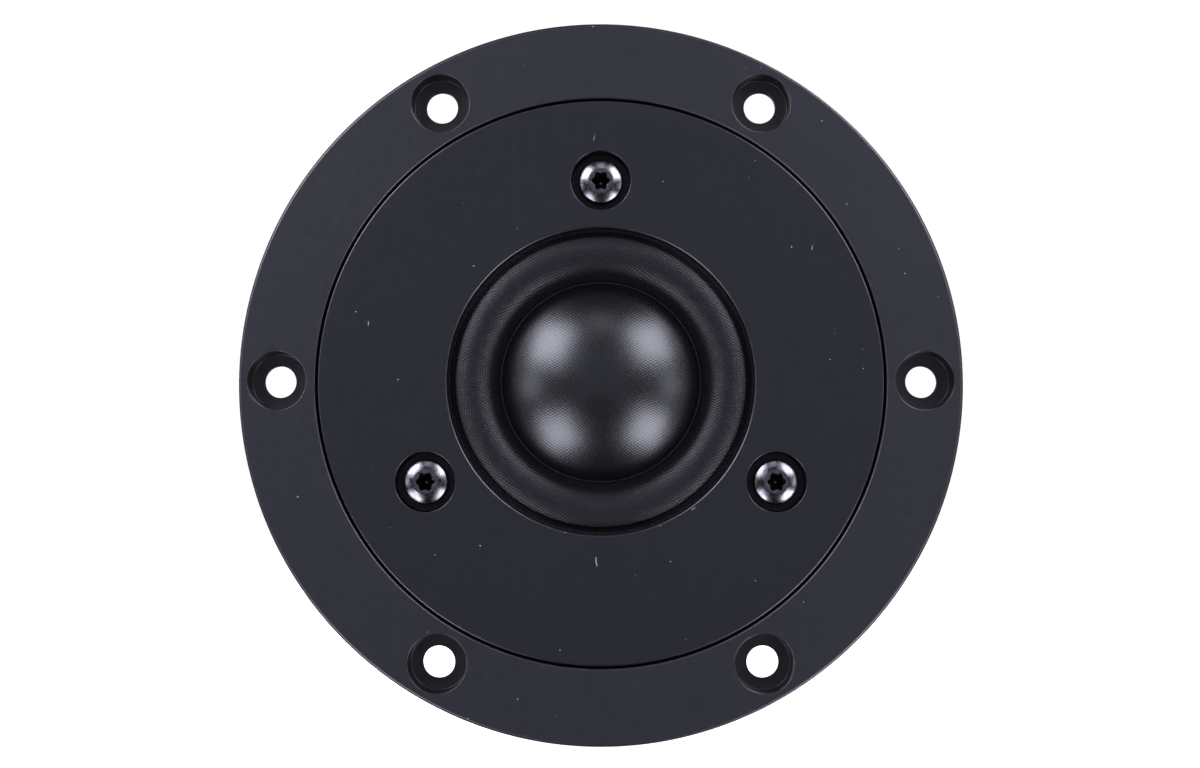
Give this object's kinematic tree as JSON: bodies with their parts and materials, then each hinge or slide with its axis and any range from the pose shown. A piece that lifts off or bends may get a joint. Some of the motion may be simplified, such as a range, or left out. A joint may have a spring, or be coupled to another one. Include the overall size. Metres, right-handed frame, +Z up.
{
  "type": "dome tweeter",
  "caption": "Flush-mount soft-dome tweeter: black face plate in a screw-down mounting ring, cloth dome on a sprung moving coil, ring magnet motor and damped rear chamber.",
  "frame": {"origin": "centre of the mounting ring's back face, on the tweeter's axis, in the plane that lies on the baffle", "axes": "the tweeter faces -Y, its motor and terminals point along +Y, +Z is up and the terminals are at the bottom"},
  "size_m": [0.104, 0.0547, 0.104],
  "materials": {
    "ring_black": "satin black anodised",
    "plate_black": "satin black anodised",
    "screw_black": "polished black zinc",
    "dome_cloth": "coated woven cloth",
    "black_plastic": "moulded, matt",
    "foam": "closed-cell foam",
    "felt": "grey wool felt",
    "former_film": "amber polyimide film",
    "copper": "bare and enamelled copper",
    "motor_steel": "bright zinc plated",
    "ferrite": "ground ferrite",
    "tinned_brass": "tin plated",
    "chamber_black": "powder coated die casting"
  },
  "bodies": {
    "chassis": {"mounting_ring": "ring_black", "face_plate": "plate_black", "face_screw_1": "screw_black", "face_screw_2": "screw_black", "face_screw_3": "screw_black", "ring_screw_1": "screw_black", "ring_screw_2": "screw_black", "ring_screw_3": "screw_black", "baffle_gasket": "foam", "diaphragm_gasket": "foam", "surround": "dome_cloth", "diaphragm_ring": "black_plastic", "lead_wire_positive": "copper", "lead_wire_negative": "copper", "terminal_tab_positive": "tinned_brass", "terminal_tab_negative": "tinned_brass", "terminal_rivet_positive": "tinned_brass", "terminal_rivet_negative": "tinned_brass", "terminal_block": "black_plastic", "top_plate": "motor_steel", "ferrite_magnet": "ferrite", "pole_yoke": "motor_steel", "copper_cap": "copper", "pole_felt_ring": "felt", "vent_felt_plug": "felt", "rear_chamber": "chamber_black", "chamber_gasket": "foam", "chamber_wool": "felt", "chamber_screw_1": "screw_black", "chamber_screw_2": "screw_black", "chamber_screw_3": "screw_black"},
    "diaphragm": {"dome": "dome_cloth", "voice_coil_former": "former_film", "voice_coil_winding": "copper"}
  },
  "joints": [
    {"name": "diaphragm_travel", "type": "slide", "parent": "chassis", "child": "diaphragm", "axis": [0, 1, 0], "range_m": [-0.001, 0.001], "stiffness_N_per_m": 4000, "deforming": ["surround", "lead_wire_positive", "lead_wire_negative"]}
  ]
}
